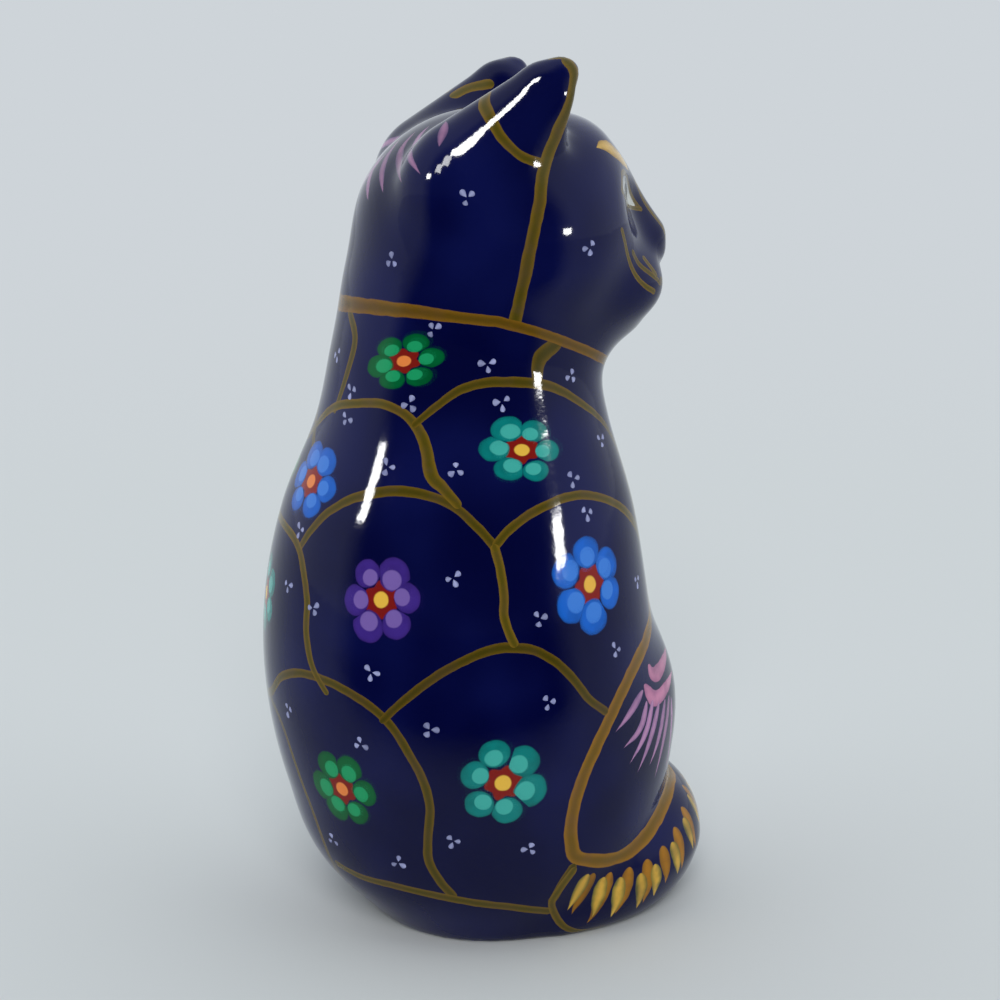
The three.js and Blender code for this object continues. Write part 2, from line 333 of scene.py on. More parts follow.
OUTLINE_SLACK = 14
FIGURE_MIDDLE = (475, 470)
BODY_AXIS_Y = 3
FAR_OUT = 100
PATH_STEP = 0.5
MIRROR_GAP = 1.2


# The way to a turn in degrees from the cat's front, towards its left, and a lift above the level
def direction(turn, lift=0):
    turn, lift = math.radians(turn), math.radians(lift)
    return math.sin(turn) * math.cos(lift), -math.cos(turn) * math.cos(lift), math.sin(lift)


def camera_axes():
    turn, pitch = math.radians(CAMERA_TURN), math.radians(CAMERA_PITCH)
    right = np.array([math.cos(turn), math.sin(turn), 0])
    flat = np.array([-math.sin(turn), math.cos(turn), 0])
    forward = flat * math.cos(pitch) + np.array([0, 0, math.sin(pitch)])
    return right, np.cross(right, forward), forward


def unit(vectors):
    return vectors / np.maximum(np.linalg.norm(vectors, axis=-1, keepdims=True), TINY)


def normals_at(points):
    return unit(slopes_at(np.atleast_2d(points)))


# Directions at a place on the surface: level across it, up it and out of it
def axes_at(place, upright=(0, 0, 1)):
    normal = normals_at(place)[0]
    across = unit(np.cross(upright, normal))
    return across, np.cross(normal, across), normal


# A smooth curve through a few points, with samples about a step apart
def smooth_curve(points, step):
    points = np.array(points, float)
    padded = np.vstack([2 * points[0] - points[1], points, 2 * points[-1] - points[-2]])
    samples = []
    for before, start, end, after in zip(padded, padded[1:], padded[2:], padded[3:]):
        count = max(int(np.linalg.norm(end - start) / step), 1)
        t = np.arange(count)[:, None] / count
        samples.append(
            start
            + (end - before) / 2 * t
            + (before - 2.5 * start + 2 * end - after / 2) * t**2
            + (1.5 * (start - end) + (after - before) / 2) * t**3
        )
    return np.vstack([*samples, points[-1:]])


class Surface:
    """The meshed cat with what the painter looks up on it, in millimetres."""

    def __init__(self, points, quads):
        self.points = points
        self.quads = quads
        self.tree = BVHTree.FromPolygons(points.tolist(), quads.tolist())
        corners = points[quads]
        self.middles = corners.mean(1)
        self.normals = unit(np.cross(corners[:, 2] - corners[:, 0], corners[:, 3] - corners[:, 1]))
        self.finder = KDTree(len(quads))
        for face, middle in enumerate(self.middles.tolist()):
            self.finder.insert(middle, face)
        self.finder.balance()

    def hit(self, start, way):
        place = self.tree.ray_cast(Vector(start), Vector(way))[0]
        return None if place is None else np.array(place)

    def seen_at(self, pixel):
        """The place that the photograph shows at a pixel, or the nearest one inwards at the outline."""
        right, up, forward = camera_axes()
        inwards = unit(np.subtract(FIGURE_MIDDLE, pixel))
        for step in range(OUTLINE_SLACK):
            column, row = pixel + inwards * step - PICTURE / 2
            place = self.hit(CAMERA_AT, forward * FOCAL_LENGTH + right * column - up * row)
            if place is not None:
                return place
        raise ValueError(f"nothing of the cat is near pixel {pixel}")

    def at_turn(self, turn, height):
        outwards = np.array(direction(turn))
        return self.hit((0, BODY_AXIS_Y, height) + outwards * FAR_OUT, -outwards)

    def from_front(self, x, z):
        return self.hit((x, -FAR_OUT, z), (0, 1, 0))

    def from_back(self, x, z):
        return self.hit((x, FAR_OUT, z), (0, -1, 0))

    def laid(self, places):
        return np.array([self.tree.find_nearest(Vector(place))[0] for place in places])

    def path(self, places):
        return self.laid(smooth_curve(places, PATH_STEP))

    def twins(self, places):
        """The mirror image of places, laid on the cat, and which of it was on the cat before."""
        mirrored = np.asarray(places) * (-1, 1, 1)
        laid = self.laid(mirrored)
        return laid, np.linalg.norm(laid - mirrored, axis=1) < MIRROR_GAP

    def other_side(self, path):
        """The longest stretch of a path's mirror image that lies on the cat."""
        laid, close = self.twins(path)
        ends = np.flatnonzero(np.diff(np.concatenate([[0], close, [0]])))
        runs = list(zip(ends[::2], ends[1::2]))
        start, end = max(runs, key=lambda run: run[1] - run[0], default=(0, 0))
        return laid[start:end]

    def faces_near(self, path, reach):
        found = set()
        for place in path:
            found.update(face for _, face, _ in self.finder.find_range(Vector(place), reach))
        return np.array(sorted(found), int)


# Paints: the colour in the middle of a stroke, the colour at its edge and the outline that the brush leaves

Paint = namedtuple("Paint", "core edge outline")
PAINTS = {
    "gold": Paint((82, 72, 18), (120, 94, 28), "line"),
    "orange_gold": Paint((112, 84, 22), (150, 106, 30), "line"),
    "leaf_shade": Paint((166, 112, 28), (132, 90, 24), "drop"),
    "leaf_light": Paint((224, 178, 72), (118, 112, 52), "drop"),
    "pale_drop": Paint((168, 172, 212), (132, 136, 184), "drop"),
    "mauve": Paint((158, 112, 150), (108, 80, 122), "lens"),
    "rose": Paint((214, 138, 176), (190, 118, 160), "drop"),
    "fan_mauve": Paint((186, 134, 176), (140, 104, 152), "drop"),
    "brow_gold": Paint((206, 168, 84), (160, 124, 44), "lens"),
    "white": Paint((214, 216, 208), (176, 182, 186), "oval"),
    "black": Paint((10, 12, 26), (16, 18, 40), "oval"),
    "nose_rose": Paint((188, 112, 120), (140, 76, 96), "oval"),
}

# An outline's half width is (1 - v^2)^first * ((1 - v) / 2)^second * fullness, with v from -1 to 1 along it
OUTLINES = {
    "line": (0.5, 0.0, 1.0),
    "drop": (0.5, 0.6, 1.36),
    "lens": (1.0, 0.0, 1.0),
    "oval": (0.5, 0.0, 1.0),
}
FULLEST = 2.0

OUTSIDE = 9.0
STROKE_DEPTH = 2.0
STROKE_MARGIN = 1.3 * CELL
STAMP_REACH = 1.3
SIDE_ON = 0.2
TONE_SHARE = 0.8


# Painting. A dab is held on the corners of the faces it crosses: how far across it and along it a corner
# lies, both 1 at the outline, and the number of its paint. The shader draws the outline from these.

class Painting:
    def __init__(self, surface):
        self.surface = surface
        self.layers = []
        self.taken = []

    def layer(self, number):
        while len(self.layers) <= number:
            self.layers.append(np.full((*self.surface.quads.shape, 3), OUTSIDE))
            self.taken.append(np.zeros(len(self.surface.quads), bool))
        return self.layers[number]

    def put(self, faces, across, along, code, over):
        """Over goes above what is there. Otherwise the dab takes the first layer that is free there."""
        busy = [taken[faces].any() for taken in self.taken]
        if over:
            number = max((i + 1 for i, used in enumerate(busy) if used), default=0)
        else:
            number = busy.index(False) if False in busy else len(busy)
        shape = (len(faces), 4)
        layer = self.layer(number)
        layer[faces, :, 0] = across.reshape(shape)
        layer[faces, :, 1] = along.reshape(shape)
        layer[faces, :, 2] = code
        self.taken[number][faces] = True

    def stroke(self, path, half_widths, paint, tone, over):
        """A stroke along a path on the surface. Its half width may change along it."""
        if len(path) < 2:
            return
        brush = Brush(path, half_widths)
        near = self.surface.faces_near(brush.path, brush.reach)
        track = brush.follow(self.surface.middles[near])
        facing = (self.surface.normals[near] * track.normal).sum(1)
        beside = (np.abs(track.across) < brush.reach) & (np.abs(track.depth) < STROKE_DEPTH)
        faces = near[beside & (facing > SIDE_ON)]
        if not len(faces):
            return
        track = brush.follow(self.surface.points[self.surface.quads[faces]].reshape(-1, 3))
        if PAINTS[paint].outline == "line":
            along = np.maximum(np.maximum(-track.along, track.along - brush.length), 0) / track.width
        else:
            along = 2 * track.along / brush.length - 1
        code = list(PAINTS).index(paint) + TONE_SHARE * tone
        self.put(faces, track.across / track.width, along, code, over)

    def stamp(self, place, upright, half_sizes, code):
        """A flat motif round a place, held as where a corner lies across and up in it, 1 at its rim."""
        across, up, normal = axes_at(place, upright)
        near = self.surface.faces_near([place], max(half_sizes) * STAMP_REACH)
        near = near[(self.surface.normals[near] @ normal) > SIDE_ON]
        away = self.surface.points[self.surface.quads[near]].reshape(-1, 3) - place
        flat = away - (away @ normal)[:, None] * normal
        stretch = np.linalg.norm(away, axis=1) / np.maximum(np.linalg.norm(flat, axis=1), SMALL)
        x = flat @ across * stretch / half_sizes[0]
        y = flat @ up * stretch / half_sizes[1]
        self.put(near, x, y, code, over=False)


Track = namedtuple("Track", "across along depth width normal")


class Brush:
    """A path with the width and the surface's normal at each of its samples."""

    def __init__(self, path, half_widths):
        self.path = np.array(path)
        given = np.atleast_1d(half_widths)
        self.widths = np.interp(np.linspace(0, 1, len(path)), np.linspace(0, 1, len(given)), given)
        self.normals = normals_at(self.path)
        self.reach = self.widths.max() + STROKE_MARGIN
        self.steps = np.diff(self.path, axis=0)
        self.lengths = np.maximum(np.linalg.norm(self.steps, axis=1), TINY)
        self.length = self.lengths.sum()

    def follow(self, points):
        """Where points lie across, along and above the path, with its width and normal there."""
        offset = points[:, None] - self.path[:-1]
        share = np.clip((offset * self.steps).sum(-1) / self.lengths**2, 0, 1)
        nearest = np.linalg.norm(offset - share[..., None] * self.steps, axis=-1).argmin(1)
        share = share[np.arange(len(points)), nearest]
        tangent = self.steps[nearest] / self.lengths[nearest][:, None]
        normal = unit(
            self.normals[nearest] * (1 - share)[:, None] + self.normals[nearest + 1] * share[:, None]
        )
        away = points - self.path[nearest] - share[:, None] * self.steps[nearest]
        depth = (away * normal).sum(1)
        sideways = (away * unit(np.cross(normal, tangent))).sum(1)
        onwards = (away * tangent).sum(1)
        at_end = ((nearest == 0) & (share <= 0)) | ((nearest == len(self.steps) - 1) & (share >= 1))
        across = np.where(at_end, sideways, np.copysign(np.hypot(sideways, onwards), sideways))
        before = np.concatenate([[0], np.cumsum(self.lengths)])
        along = before[nearest] + share * self.lengths[nearest] + np.where(at_end, onwards, 0)
        width = self.widths[nearest] * (1 - share) + self.widths[nearest + 1] * share
        return Track(across, along, depth, width, normal)


# Gold lines, by the photograph's pixels, with half widths in millimetres along them

SCALE_LINES = {
    "ear_base": (
        [(486, 95), (484, 104), (490, 118), (502, 138), (520, 155), (543, 165)], (1.1, 1.1, 0.9, 0.8, 0.9),
    ),
    "far_ear_base": ([(456, 94), (468, 88), (488, 84)], (1.2, 1.1)),
    "nape_left": ([(350, 312), (355, 340), (345, 380), (335, 410)], (0.9, 0.8, 0.6)),
    "nape_right": ([(555, 345), (540, 358), (537, 381)], (1.5, 1.4, 1.0)),
    "upper_back": (
        [(300, 434), (331, 409), (364, 403), (389, 406), (412, 421), (425, 444), (431, 475), (443, 488),
         (457, 504)],
        (0.7, 0.8, 0.8, 0.8, 0.8, 0.8, 1.0, 1.2, 0.8),
    ),
    "upper_side": (
        [(415, 424), (433, 409), (458, 391), (484, 383), (504, 382), (530, 383), (555, 388), (581, 403),
         (606, 426), (622, 451), (633, 482), (638, 526)],
        (0.6, 0.7, 0.8, 0.9, 0.9, 0.8, 0.7, 0.6, 0.6, 0.7, 0.9, 0.9),
    ),
    "middle_back": (
        [(299, 549), (309, 533), (326, 514), (347, 501), (369, 494), (395, 491), (421, 494), (443, 501),
         (460, 511), (480, 530), (495, 547)],
        (0.7, 0.8, 0.8, 0.8, 0.9, 0.9, 0.9, 0.8, 0.8, 0.8, 0.8),
    ),
    "middle_side": (
        [(497, 544), (509, 530), (530, 514), (550, 504), (567, 497), (586, 495), (605, 499), (621, 507),
         (633, 521), (640, 537)],
        (0.8, 0.8, 0.8, 0.8, 0.8, 0.8, 0.8, 0.9, 1.0, 1.0),
    ),
    "side_stem": ([(495, 549), (500, 568), (504, 594), (504, 616), (509, 633), (514, 643)], (0.8,)),
    "back_edge": (
        [(280, 516), (290, 532), (299, 549), (304, 576), (307, 602), (306, 628), (309, 654), (314, 671),
         (326, 692)],
        (0.7, 0.8, 0.8, 0.8, 0.6),
    ),
    "lower_back": (
        [(272, 691), (281, 677), (299, 673), (322, 679), (346, 691), (371, 707), (391, 726), (409, 754),
         (424, 783), (430, 809), (428, 836), (429, 862), (440, 881), (452, 895)],
        (0.8, 0.8, 0.8, 0.8, 0.8, 0.8, 0.9),
    ),
    "spine": ([(272, 700), (287, 738), (317, 823), (342, 880)], (0.5,)),
    "lower_side": (
        [(383, 720), (399, 705), (424, 685), (452, 667), (491, 650), (518, 648), (538, 652), (558, 664),
         (575, 681), (589, 699), (605, 711)],
        (0.7, 0.8, 0.8, 0.9, 0.8, 0.8, 0.8),
    ),
    "foot": (
        [(338, 864), (362, 877), (391, 885), (424, 893), (464, 901), (511, 907), (548, 911)],
        (0.8, 0.9, 0.9),
    ),
    "cheek": (
        [(568, 62), (575, 75), (568, 110), (545, 165), (540, 200), (530, 250), (515, 322)],
        (1.1, 1.3, 1.3, 1.1, 1.1, 1.1, 1.1),
    ),
    "ear_top": ([(553, 57), (562, 57), (570, 60)], (0.8,)),
}
BACK_JOINT = (0, 40.5)
BACK_JOINT_LINES = ("lower_back", "spine")
COLLAR = [(340, 303), (400, 310), (480, 320), (515, 326), (560, 340), (605, 360)]
COLLAR_HALF_WIDTHS = (1.5, 1.3, 1.0, 0.9, 0.9, 0.9)
COLLAR_FRONT_HEIGHT = 97.5
PANEL = [
    (650, 612), (646, 640), (634, 667), (616, 705), (595, 750), (581, 783), (573, 813), (571, 836),
    (575, 856), (591, 860), (609, 860), (628, 852), (648, 832), (662, 807), (669, 783), (670, 771),
]
PANEL_HALF_WIDTHS = (0.5, 0.7, 1.0, 1.6, 1.6, 1.4, 1.3, 1.3, 1.3, 1.4, 1.5, 1.5, 1.5, 1.4, 1.2)
PANEL_TOP = ((0, 67), (-5, 65), (-9.5, 60))
PANEL_BOTTOM = [(0, 21.8), (12, 22.3), (25, 22.4), (40, 22.4), (54, 22.6), (66, 23.2)]
CREASE_HALF_WIDTHS = (1.2, 1.2, 1.0)
TAIL_LINES = [
    ([(572, 868), (562, 884), (553, 900)], (0.9,)),
    (
        [(573, 871), (560, 889), (552, 903), (558, 920), (571, 930), (587, 932), (603, 928)],
        (0.8, 0.8, 0.7, 0.7, 0.7, 0.6, 0.4),
    ),
]

# Leaves on the tail: the light one and the darker one behind it, top to bottom

TAIL_LEAVES = [
    ((588, 874), (567, 911), (594, 873), (571, 915)),
    ((604, 877), (591, 918), (611, 872), (586, 924)),
    ((621, 877), (610, 918), (630, 867), (614, 915)),
    ((641, 873), (636, 909), (647, 859), (642, 904)),
    ((655, 864), (653, 897), (662, 846), (665, 884)),
    ((672, 842), (677, 875), (674, 827), (681, 870)),
    ((683, 818), (693, 850), (681, 807), (695, 849)),
]
LEAF_HALF_WIDTH = 1.35
LEAF_TURNS = range(-15, 104, 8)
LEAF_HEIGHTS = (18.2, 10.8)
LEAF_SHADE_HEIGHTS = (19.4, 10.4)
LEAF_SHADE_LEAD = 2.2
LEAF_SLANT = 1.5

# Flowers: pixel of the middle, size in pixels, petals and dot, turn in degrees

FLOWERS = [
    ((404, 361), (84, 60), "green_orange", -12),
    ((522, 450), (86, 68), "teal_yellow", 4),
    ((311, 481), (57, 76), "blue_orange", 0),
    ((381, 600), (84, 94), "purple_yellow", -6),
    ((590, 584), (72, 106), "blue_yellow", 30),
    ((342, 789), (68, 80), "green_orange", -5),
    ((503, 783), (94, 90), "teal_yellow", 18),
]
BACK_FLOWER = ("teal_yellow", 59, 7.2, 25)
CHEST_FLOWER = ("blue_yellow", 89, 8.6, 0)
MIRRORED_FLOWER = {
    "green_orange": "teal_yellow",
    "teal_yellow": "purple_yellow",
    "blue_orange": "green_orange",
    "purple_yellow": "blue_orange",
    "blue_yellow": "green_orange",
}
LARGEST_FLOWER = 8.2

PETAL_PAINTS = {
    # outer petal, inner dab, heart, dot
    "green_orange": ((0, 100, 52), (30, 160, 102), (132, 28, 22), (245, 140, 70)),
    "teal_yellow": ((12, 132, 128), (70, 182, 170), (136, 28, 22), (245, 195, 75)),
    "blue_orange": ((18, 100, 205), (64, 130, 224), (140, 28, 24), (245, 140, 70)),
    "blue_yellow": ((18, 104, 212), (64, 132, 226), (140, 28, 24), (245, 190, 75)),
    "purple_yellow": ((68, 44, 138), (126, 100, 176), (132, 28, 26), (245, 195, 75)),
}

# Small pale drops in threes

DROP_PLACES = [
    (467, 198), (392, 260), (590, 248), (433, 330), (487, 364), (571, 376), (409, 404), (502, 402),
    (347, 419), (351, 392), (337, 354), (387, 467), (456, 470), (601, 440), (573, 479), (587, 513),
    (453, 578), (540, 619), (616, 650), (549, 702), (430, 730), (637, 580), (371, 672), (313, 608),
    (288, 585), (300, 530), (288, 710), (361, 745), (398, 863), (453, 841), (529, 849), (333, 840),
]
DROPS_IN_GROUP = 3
DROP_NEAR = (0.1, 0.4)
DROP_FAR = (1.2, 1.65)
DROP_HALF_WIDTHS = (0.42, 0.6)
DROP_SPREAD = 24
MIDLINE_GAP = 2.5

# Dabs on both sides, by the photograph's pixels or by x and height seen from the front

DABS = [
    # view, half width, paint, places of each dab
    # Belly: two crescents with a fan of strokes under them
    ("photo", 1.5, "rose", [
        [(648, 665), (656, 674), (668, 648)],
        [(644, 685), (657, 698), (673, 670)],
    ]),
    ("photo", 0.85, "fan_mauve", [
        [(643, 690), (630, 713), (615, 733)], [(647, 701), (641, 727), (623, 749)],
        [(653, 700), (646, 732), (629, 765)], [(659, 702), (651, 737), (637, 774)],
        [(665, 699), (659, 737), (649, 767)], [(669, 695), (665, 732), (654, 780)],
        [(671, 697), (670, 742), (665, 772)],
    ]),
    ("front", 0.85, "fan_mauve", [
        [(-5.6, 43.2), (-5.9, 37), (-6.6, 29.8)],
        [(-2.8, 43.0), (-2.9, 36), (-3.2, 28.6)],
        [(0, 43.2), (0, 36), (0, 28.0)],
    ]),
    # Back of the head, fanning from the crown
    ("photo", 0.9, "mauve", [
        [(446, 121), (443, 132), (439, 147)], [(430, 125), (416, 142), (421, 175)],
        [(416, 131), (400, 153), (402, 183)], [(401, 138), (384, 163), (383, 193)],
        [(386, 150), (371, 173), (368, 201)],
    ]),
    # Brow, white of the eye, pupil, the eye's upper and lower rim, and side of the nose
    ("front", 1.8, "brow_gold", [[(-13.4, 135.4), (-11.4, 135.6), (-8.6, 134.2), (-5.2, 131.2)]]),
    ("front", 2.2, "white", [[(-12.6, 128.6), (-9.2, 128.4), (-5.0, 125.2)]]),
    ("front", 1.3, "black", [[(-8.9, 130.3), (-8.8, 126.2)]]),
    ("front", 0.5, "gold", [[(-13.6, 128.4), (-10.4, 131.2), (-7.2, 129.8), (-4.2, 124.6)]]),
    ("front", 0.4, "gold", [[(-13.6, 128.4), (-10.6, 126.4), (-7.6, 125.4), (-4.2, 124.6)]]),
    ("front", 0.5, "gold", [[(-2.0, 131), (-2.6, 125), (-3.1, 119.6)]]),
    # Muzzle, then mouth and chin
    ("photo", 0.5, "gold", [
        [(622, 230), (628, 256), (640, 281), (654, 292)],
        [(633, 252), (642, 267), (660, 283)],
        [(644, 258), (656, 275)],
    ]),
    ("front", 0.5, "gold", [
        [(0, 115.6), (-0.2, 112.8), (-2.6, 110.6), (-5.8, 110.9), (-8.2, 113)],
        [(0, 105.4), (-2.6, 105.9), (-4.8, 107.4)],
    ]),
]
NOSE_PAD = ((0, 118.9), (0, 115.9))
NOSE_HALF_WIDTH = 1.9

SEED = 7


class Decoration:
    """All that the painter lays on the cat. What is read off its right side is repeated on its left."""

    def __init__(self, surface):
        self.surface = surface
        self.strokes = Painting(surface)
        self.flowers = Painting(surface)
        self.chance = np.random.default_rng(SEED)

    def from_pixels(self, pixels):
        return self.surface.path([self.surface.seen_at(pixel) for pixel in pixels])

    def from_front(self, places):
        return self.surface.path([self.surface.from_front(x, z) for x, z in places])

    def both_sides(self, path, half_widths, paint, over=True):
        for side in (path, self.surface.other_side(path)):
            self.strokes.stroke(side, half_widths, paint, self.chance.random(), over)

    def one_side(self, path, half_widths, paint, over=True):
        self.strokes.stroke(path, half_widths, paint, self.chance.random(), over)

    def gold_lines(self):
        joint = self.surface.from_back(*BACK_JOINT)
        for name, (pixels, half_widths) in SCALE_LINES.items():
            places = [self.surface.seen_at(pixel) for pixel in pixels]
            if name in BACK_JOINT_LINES:
                places.insert(0, joint)
            self.both_sides(self.surface.path(places), half_widths, "gold", over=False)
        collar = [self.surface.seen_at(pixel) for pixel in COLLAR]
        collar.append(self.surface.at_turn(0, COLLAR_FRONT_HEIGHT))
        self.both_sides(self.surface.path(collar), COLLAR_HALF_WIDTHS, "orange_gold", over=False)
        panel = [self.surface.from_front(x, z) for x, z in PANEL_TOP]
        panel += [self.surface.seen_at(pixel) for pixel in PANEL]
        crease = [self.surface.at_turn(*spot) for spot in PANEL_BOTTOM]
        panel.append(crease[0])
        self.both_sides(self.surface.path(panel), PANEL_HALF_WIDTHS, "orange_gold", over=False)
        self.one_side(self.surface.path(crease), CREASE_HALF_WIDTHS, "orange_gold", over=False)
        for pixels, half_widths in TAIL_LINES:
            self.one_side(self.from_pixels(pixels), half_widths, "gold", over=False)

    def tail_leaves(self):
        pairs = []
        for pixels in TAIL_LEAVES:
            pairs.append((self.from_pixels(pixels[2:]), self.from_pixels(pixels[:2])))
        for turn in LEAF_TURNS:
            pair = []
            for (top, low), lead in ((LEAF_SHADE_HEIGHTS, LEAF_SHADE_LEAD), (LEAF_HEIGHTS, 0)):
                start = self.surface.at_turn(turn + lead, top)
                end = self.surface.at_turn(turn + lead + LEAF_SLANT, low)
                pair.append(self.surface.path([start, end]))
            pairs.append(pair)
        for shade, light in pairs:
            self.one_side(shade, LEAF_HALF_WIDTH, "leaf_shade")
            self.one_side(light, LEAF_HALF_WIDTH, "leaf_light")

    def pale_drops(self):
        for pixel in DROP_PLACES:
            place = self.surface.seen_at(pixel)
            self.drop_group(place)
            (twin,), (on_cat,) = self.surface.twins([place])
            if on_cat and abs(place[0]) > MIDLINE_GAP:
                self.drop_group(twin)

    def drop_group(self, place):
        across, up, _ = axes_at(place)
        step = 360 / DROPS_IN_GROUP
        turn = self.chance.uniform(0, step)
        for number in range(DROPS_IN_GROUP):
            angle = math.radians(turn + step * number + self.chance.uniform(-DROP_SPREAD, DROP_SPREAD))
            outwards = across * math.cos(angle) + up * math.sin(angle)
            near = self.chance.uniform(*DROP_NEAR)
            far = self.chance.uniform(*DROP_FAR)
            half_width = self.chance.uniform(*DROP_HALF_WIDTHS)
            path = self.surface.laid([place + outwards * far, place + outwards * near])
            self.one_side(path, half_width, "pale_drop")

    def flower(self, place, half_sizes, palette, turn):
        around = math.radians(turn)
        across, up, _ = axes_at(place)
        tilted = up * math.cos(around) + across * math.sin(around)
        code = list(PETAL_PAINTS).index(palette) + TONE_SHARE * self.chance.random()
        self.flowers.stamp(place, tilted, half_sizes, code)

    def photo_flower(self, pixel, size, palette, turn):
        place = self.surface.seen_at(pixel)
        right, up, forward = camera_axes()
        across, upwards, _ = axes_at(place)
        pixels_per_mm = FOCAL_LENGTH / ((place - CAMERA_AT) @ forward)
        width = size[0] / 2 / (pixels_per_mm * abs(across @ right))
        height = size[1] / 2 / (pixels_per_mm * abs(upwards @ up))
        half_sizes = (min(width, LARGEST_FLOWER), min(height, LARGEST_FLOWER))
        self.flower(place, half_sizes, palette, turn)
        (twin,), (on_cat,) = self.surface.twins([place])
        if on_cat:
            self.flower(twin, half_sizes, MIRRORED_FLOWER[palette], -turn)

    def all_flowers(self):
        for flower in FLOWERS:
            self.photo_flower(*flower)
        for hit, (palette, height, radius, turn) in (
            (self.surface.from_back, BACK_FLOWER),
            (self.surface.from_front, CHEST_FLOWER),
        ):
            self.flower(hit(0, height), (radius, radius), palette, turn)

    def dabs(self):
        seen = {"photo": self.from_pixels, "front": self.from_front}
        for view, half_width, paint, dabs in DABS:
            for places in dabs:
                self.both_sides(seen[view](places), half_width, paint)
        self.one_side(self.from_front(NOSE_PAD), NOSE_HALF_WIDTH, "nose_rose")

    def paint(self):
        self.gold_lines()
        self.tail_leaves()
        self.pale_drops()
        self.dabs()
        self.all_flowers()
        return self.strokes.layers, self.flowers.layers


STROKE_LAYER = "stroke_layer_{}"
FLOWER_LAYER = "flower_layer_{}"


# The mesh, moved so that its box stands on the middle of the frame, with the paint on its corners
def cat_mesh():
    points, quads = cat_surface()
    strokes, flowers = Decoration(Surface(points, quads)).paint()
    middle = (points.min(0) + points.max(0)) / 2 * (1, 1, 0)
    mesh = bpy.data.meshes.new("painted_cat")
    mesh.from_pydata(((points - middle) * MM).tolist(), [], quads.tolist())
    mesh.update()
    for name, layers in ((STROKE_LAYER, strokes), (FLOWER_LAYER, flowers)):
        for number, layer in enumerate(layers):
            attribute = mesh.attributes.new(name.format(number), "FLOAT_VECTOR", "CORNER")
            attribute.data.foreach_set("vector", layer.astype(np.float32).ravel())
    mesh.shade_smooth()
    return mesh, middle, len(strokes), len(flowers)


def new_object(data):
    thing = bpy.data.objects.new(data.name, data)
    bpy.context.collection.objects.link(thing)
    return thing


# Shader nodes

SRGB_KNEE = 0.04045
SRGB_SLOPE = 12.92
SRGB_OFFSET = 0.055
SRGB_POWER = 2.4


# A colour from 0 to 255, as on a screen, turned into the shader's linear one
def linear(colour):
    channels = []
    for share in np.array(colour) / 255:
        curved = ((share + SRGB_OFFSET) / (1 + SRGB_OFFSET)) ** SRGB_POWER
        channels.append(share / SRGB_SLOPE if share <= SRGB_KNEE else curved)
    return (*channels, 1)


class Value:
    """What a socket gives. Sums with it add math nodes."""

    def __init__(self, nodes, socket):
        self.nodes = nodes
        self.socket = socket

    def __add__(self, other):
        return self.nodes.math("ADD", self, other)

    def __sub__(self, other):
        return self.nodes.math("SUBTRACT", self, other)

    def __rsub__(self, other):
        return self.nodes.math("SUBTRACT", other, self)

    def __mul__(self, other):
        return self.nodes.math("MULTIPLY", self, other)

    def __truediv__(self, other):
        return self.nodes.math("DIVIDE", self, other)


class Nodes:
    """Adds nodes to a tree. A number or colour given for a socket is set on it, and a value is linked."""

    def __init__(self, tree):
        self.tree = tree
        tree.nodes.clear()

    def add(self, kind, inputs=None, **settings):
        node = self.tree.nodes.new(kind)
        for name, value in settings.items():
            setattr(node, name, value)
        for key, value in (inputs or {}).items():
            self.feed(node.inputs[key], value)
        return node

    def feed(self, socket, value):
        if isinstance(value, Value):
            self.tree.links.new(value.socket, socket)
        else:
            socket.default_value = value

    def out(self, kind, inputs=None, output=0, **settings):
        return Value(self, self.add(kind, inputs, **settings).outputs[output])

    def math(self, operation, *values, clamp=False):
        inputs = dict(enumerate(values))
        return self.out("ShaderNodeMath", inputs, operation=operation, use_clamp=clamp)

    def hypot(self, a, b):
        return self.math("SQRT", a * a + b * b)

    def inside(self, limit, value, softness):
        return self.math("DIVIDE", limit - value, softness, clamp=True)

    def mix(self, share, under, over, blend="MIX"):
        inputs = {0: share, 6: under, 7: over}
        settings = {"data_type": "RGBA", "blend_type": blend, "clamp_factor": True}
        return self.out("ShaderNodeMix", inputs, 2, **settings)

    def shaded(self, colour, brightness):
        grey = self.out("ShaderNodeCombineXYZ", {0: brightness, 1: brightness, 2: brightness})
        return self.mix(1.0, colour, grey, "MULTIPLY")

    def ramp(self, position, colours):
        """Steps of one colour each, for a whole number counted from 0."""
        node = self.add("ShaderNodeValToRGB", {0: (position + 0.5) / len(colours)})
        node.color_ramp.interpolation = "CONSTANT"
        elements = node.color_ramp.elements
        while len(elements) < len(colours):
            elements.new(0.5)
        for number, colour in enumerate(colours):
            elements[number].position = number / len(colours)
        for number, colour in enumerate(colours):
            elements[number].color = colour
        return Value(self, node.outputs[0])

    def smooth(self, value, low, high):
        inputs = {0: value, 1: low, 2: high}
        return self.out("ShaderNodeMapRange", inputs, interpolation_type="SMOOTHSTEP")

    def dot(self, vector, way):
        return self.out("ShaderNodeVectorMath", {0: vector, 1: way}, "Value", operation="DOT_PRODUCT")

    def noise(self, place, scale, detail):
        inputs = {"Vector": place, "Scale": scale, "Detail": detail}
        return self.out("ShaderNodeTexNoise", inputs, "Fac")

    def split(self, vector):
        return [Value(self, part) for part in self.add("ShaderNodeSeparateXYZ", {0: vector}).outputs]


def new_material(name):
    material = bpy.data.materials.new(name)
    material.use_nodes = True
    return material, Nodes(material.node_tree)


LAYER_INPUTS = {
    "Under": "NodeSocketColor",
    "Place": "NodeSocketVector",
    "Waver": "NodeSocketFloat",
    "Streak": "NodeSocketFloat",
}


